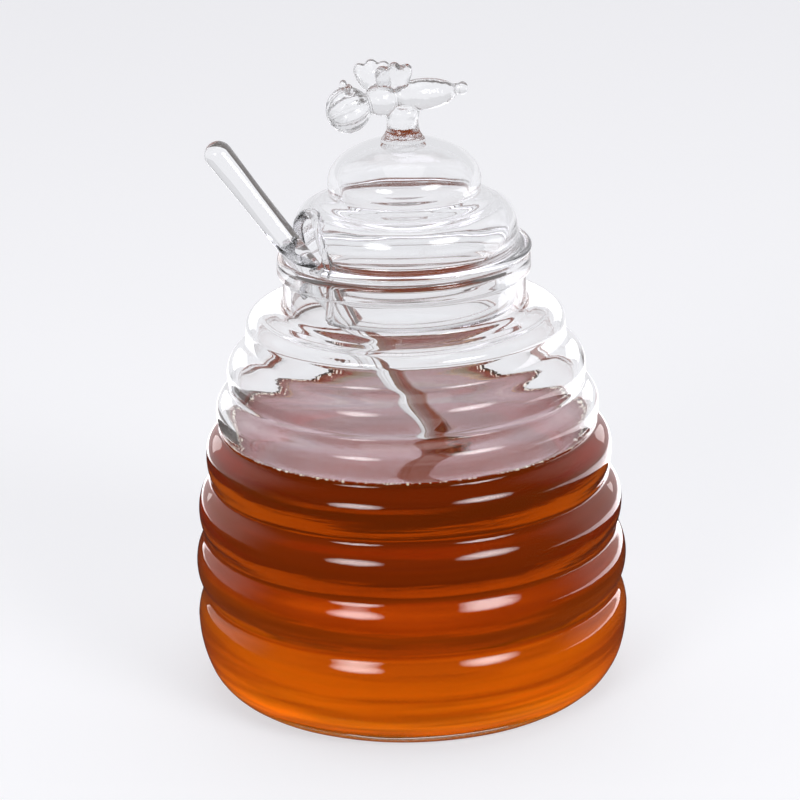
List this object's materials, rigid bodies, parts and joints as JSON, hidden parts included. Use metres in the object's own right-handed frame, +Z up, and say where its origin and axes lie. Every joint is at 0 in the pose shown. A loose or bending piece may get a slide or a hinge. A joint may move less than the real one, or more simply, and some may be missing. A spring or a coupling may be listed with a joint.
{
  "type": "honey pot with dipper",
  "caption": "Ringed beehive honey pot of clear glass, part full of honey, with a notched lid topped by a glass bee and a glass dipper leaning on the rim.",
  "frame": {"origin": "middle of the jar's flat underside, on the surface that it stands on", "axes": "+Z up along the jar's axis; the dipper leans out over the rim towards -X; -Y is the side seen in the picture"},
  "size_m": [0.1, 0.1, 0.1455],
  "materials": {
    "clear_glass": "clear blown glass, smooth, fire-polished edges",
    "honey": "clear amber honey, dark where it is thick and golden where it is thin"
  },
  "bodies": {
    "root": {"jar": "clear_glass", "honey": "honey", "lid": "clear_glass", "dipper": "clear_glass"}
  },
  "joints": []
}
